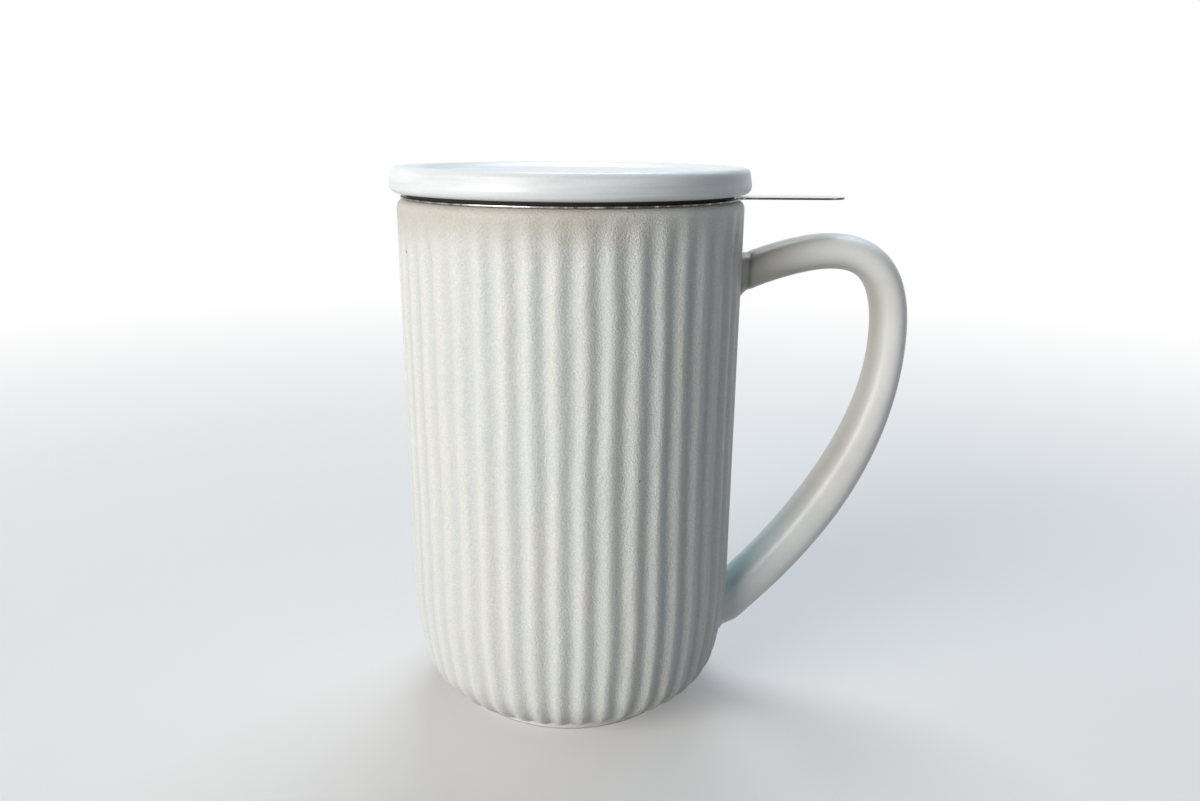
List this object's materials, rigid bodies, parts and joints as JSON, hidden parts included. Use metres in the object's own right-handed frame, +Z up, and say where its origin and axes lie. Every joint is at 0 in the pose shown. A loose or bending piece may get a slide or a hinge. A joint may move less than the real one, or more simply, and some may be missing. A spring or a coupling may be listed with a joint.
{
  "type": "lidded tea mug with infuser",
  "caption": "Fluted ceramic mug with a loop handle, a drop-in perforated steel infuser basket and a lift-off ceramic lid.",
  "frame": {"origin": "centre of the foot ring's standing face, on the mug's axis", "axes": "+Z up along the mug's axis, +X towards the handle and the infuser's tab"},
  "size_m": [0.1244, 0.085, 0.1327],
  "materials": {
    "body_glaze": "satin white glaze over cast flutes, fine orange-peel texture",
    "handle_glaze": "glossy white glaze, pooled slightly darker at the roots",
    "lid_glaze": "smooth glossy white glaze",
    "sheet_steel": "bright rolled stainless sheet",
    "perforated_steel": "fine perforated stainless sheet"
  },
  "bodies": {
    "mug": {"mug_body": "body_glaze", "mug_handle": "handle_glaze"},
    "infuser": {"infuser_rim": "sheet_steel", "infuser_wall": "perforated_steel", "infuser_base": "perforated_steel"},
    "lid": {"lid": "lid_glaze"}
  },
  "joints": [
    {"name": "infuser_lift", "type": "slide", "parent": "mug", "child": "infuser", "axis": [0, 0, 1], "range_m": [0, 0.11]},
    {"name": "lid_lift", "type": "slide", "parent": "infuser", "child": "lid", "axis": [0, 0, 1], "range_m": [0, 0.04]}
  ]
}
